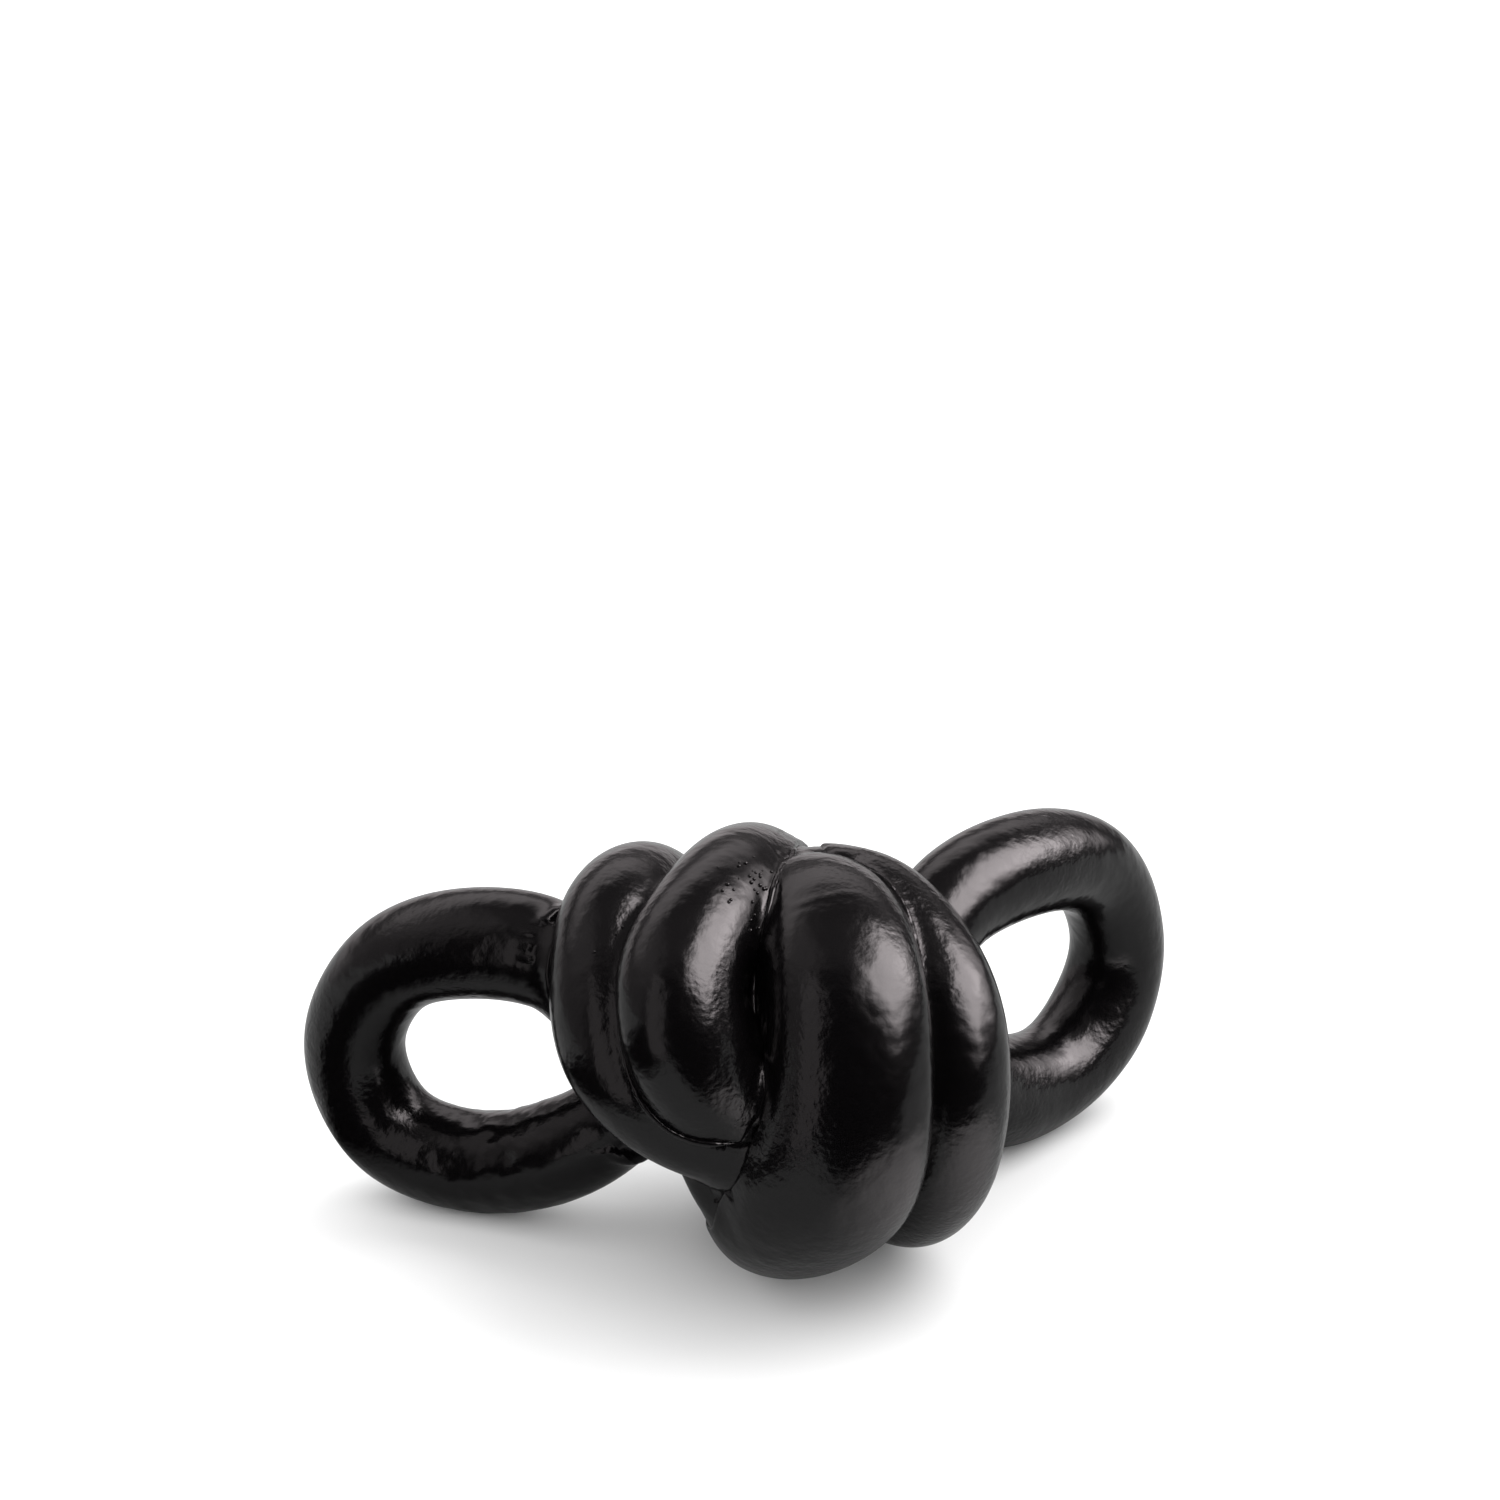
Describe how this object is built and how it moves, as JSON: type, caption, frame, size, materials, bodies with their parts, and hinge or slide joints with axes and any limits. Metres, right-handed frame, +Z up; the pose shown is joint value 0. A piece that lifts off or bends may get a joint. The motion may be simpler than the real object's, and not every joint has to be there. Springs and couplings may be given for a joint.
{
  "type": "knot sculpture",
  "caption": "Free-standing sculpture of one thick doubled strand tied in an overhand knot with a loop at each side, in glossy black enamelled metal",
  "frame": {"origin": "Centre of the bounding box in plan, on the ground that the three feet stand on", "axes": "+X to the right along the knot as the picture shows it, +Y to the back, +Z up"},
  "size_m": [0.2453, 0.1688, 0.1213],
  "materials": {
    "enamel": "gloss"
  },
  "bodies": {
    "root": {"left_loop": "enamel", "left_upper_core": "enamel", "wrap_3": "enamel", "back_strand_a": "enamel", "wrap_1": "enamel", "right_lower_core": "enamel", "right_loop": "enamel", "right_upper_core": "enamel", "wrap_2": "enamel", "back_strand_b": "enamel", "wrap_4": "enamel", "left_lower_core": "enamel"}
  },
  "joints": []
}
